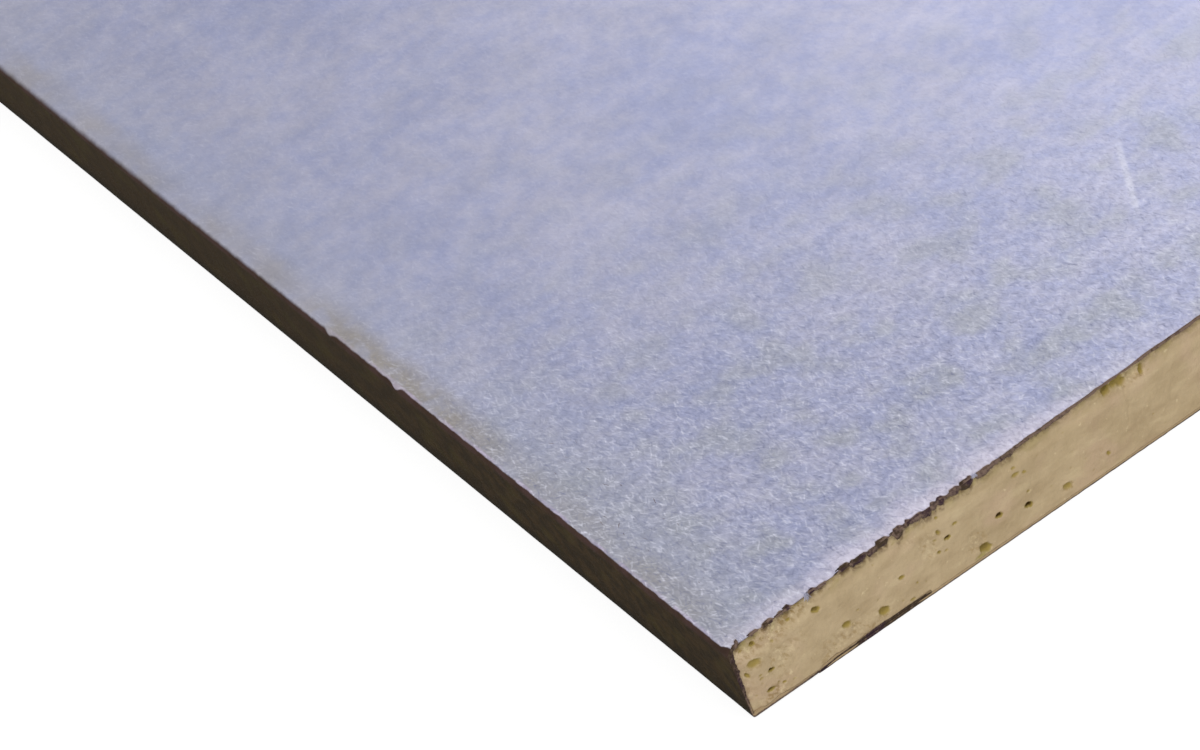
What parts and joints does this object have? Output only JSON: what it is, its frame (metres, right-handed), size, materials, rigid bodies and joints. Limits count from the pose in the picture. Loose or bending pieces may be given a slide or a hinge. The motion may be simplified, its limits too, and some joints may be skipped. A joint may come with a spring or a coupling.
{
  "type": "drywall sheet",
  "caption": "Sheet of tapered-edge gypsum board: porous core between two bonded papers, the face paper folded round both long edges, bare core at the cut ends.",
  "frame": {"origin": "middle of the back paper, on the surface that the sheet lies on", "axes": "+Y along the sheet's length, X across its width, +Z out of the face paper"},
  "size_m": [1.219, 2.438, 0.0127],
  "materials": {
    "gypsum": "matte",
    "face_paper": "matte",
    "back_paper": "matte"
  },
  "bodies": {
    "root": {"gypsum_core": "gypsum", "face_paper": "face_paper", "back_paper": "back_paper"}
  },
  "joints": []
}
